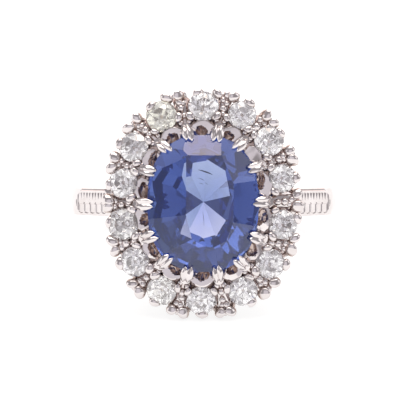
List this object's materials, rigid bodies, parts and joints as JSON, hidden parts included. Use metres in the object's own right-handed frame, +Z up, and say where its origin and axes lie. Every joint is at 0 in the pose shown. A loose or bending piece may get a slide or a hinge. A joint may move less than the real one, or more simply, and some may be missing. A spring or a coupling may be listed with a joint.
{
  "type": "cluster ring",
  "caption": "Finger ring whose cushion-oval blue sapphire stands in double claws inside a row of old-cut diamonds, on a tapered band with engraved shoulders.",
  "frame": {"origin": "on the surface that the ring lies on, under the middle of its box", "axes": "+Z up from that surface, +X across the band, and the head faces -Y and leans back by 19.4 degrees, as the ring lies on its side on the band's back edge and its lowest claws"},
  "size_m": [0.0202, 0.0239, 0.0161],
  "materials": {
    "white_gold": "polished",
    "sapphire": "faceted and polished",
    "diamond": "faceted and polished"
  },
  "bodies": {
    "root": {"setting": "white_gold", "sapphire": "sapphire", "diamond_01": "diamond", "diamond_02": "diamond", "diamond_03": "diamond", "diamond_04": "diamond", "diamond_05": "diamond", "diamond_06": "diamond", "diamond_07": "diamond", "diamond_08": "diamond", "diamond_09": "diamond", "diamond_10": "diamond", "diamond_11": "diamond", "diamond_12": "diamond", "diamond_13": "diamond", "diamond_14": "diamond"}
  },
  "joints": []
}
